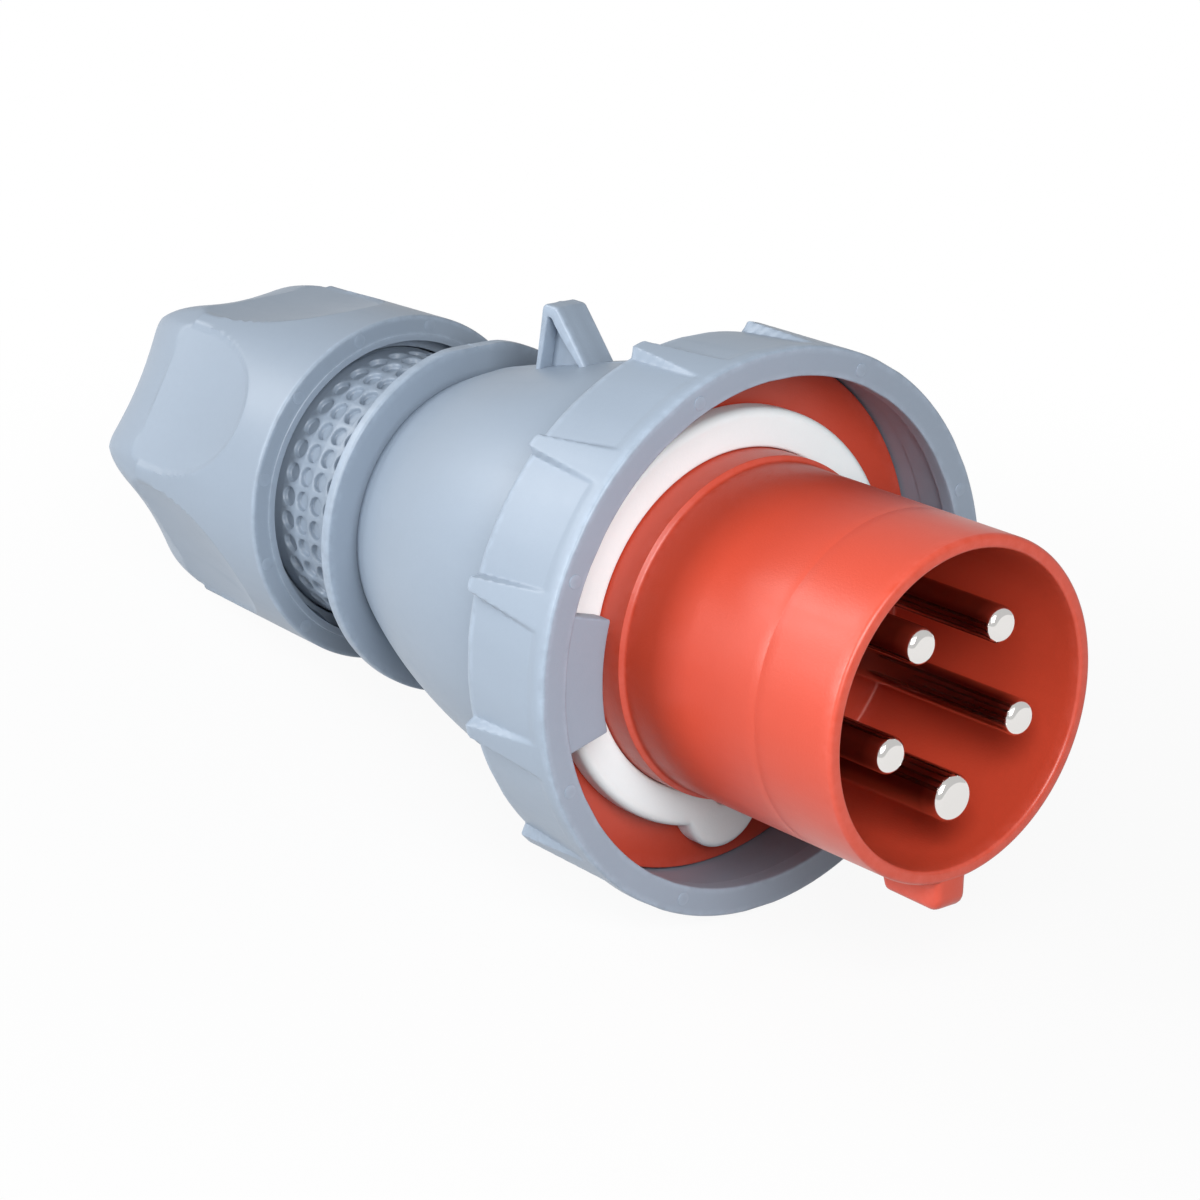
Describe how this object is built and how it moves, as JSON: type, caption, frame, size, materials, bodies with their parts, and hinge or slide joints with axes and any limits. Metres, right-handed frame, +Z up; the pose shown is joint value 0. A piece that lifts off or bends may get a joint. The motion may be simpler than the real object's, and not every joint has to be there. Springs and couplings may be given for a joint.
{
  "type": "industrial pin and sleeve plug",
  "caption": "Round industrial mains plug with pins inside a keyed sleeve, a ribbed locking ring, a tapered housing and a screwed cable gland.",
  "frame": {"origin": "centre of the sleeve's mouth, on the axis of the plug", "axes": "+X out of the sleeve's mouth along the plug's axis, +Z up through the fin and away from the key"},
  "size_m": [0.2308, 0.108, 0.108],
  "materials": {
    "shell_grey": "fine satin moulding",
    "carrier_red": "satin moulding",
    "gasket_pale": "soft and dull",
    "pin_nickel": "nickel plated brass, polished",
    "screw_steel": "zinc plated",
    "seal_black": "dull",
    "gland_plastic": "satin"
  },
  "bodies": {
    "plug_body": {"housing": "shell_grey", "contact_carrier": "carrier_red", "pin_retainer": "carrier_red", "face_gasket": "gasket_pale", "ring_seal": "seal_black", "carrier_seal": "seal_black", "cable_seal": "seal_black", "clamping_basket": "gland_plastic", "retainer_screw": "screw_steel", "pin_earth": "pin_nickel", "pin_l1": "pin_nickel", "pin_l2": "pin_nickel", "pin_l3": "pin_nickel", "pin_neutral": "pin_nickel", "terminal_screw_earth": "screw_steel", "terminal_screw_l1": "screw_steel", "terminal_screw_l2": "screw_steel", "terminal_screw_l3": "screw_steel", "terminal_screw_neutral": "screw_steel"},
    "ring": {"locking_ring": "shell_grey"},
    "thrust": {"thrust_ring": "gland_plastic"},
    "nut": {"gland_nut": "shell_grey"}
  },
  "joints": [
    {"name": "ring_turn", "type": "hinge", "parent": "plug_body", "child": "ring", "pos_m": [-0.06, 0, 0], "axis": [1, 0, 0], "range_deg": [0, 45]},
    {"name": "gland_travel", "type": "slide", "parent": "plug_body", "child": "thrust", "axis": [1, 0, 0], "range_m": [-0.008, 0.012]},
    {"name": "nut_turn", "type": "hinge", "parent": "thrust", "child": "nut", "pos_m": [-0.195, 0, 0], "axis": [1, 0, 0], "range_deg": [-720, 1080]}
  ],
  "couplings": [
    {"joint": "gland_travel", "follows": "nut_turn", "m_per_rad": 0.0006366}
  ]
}
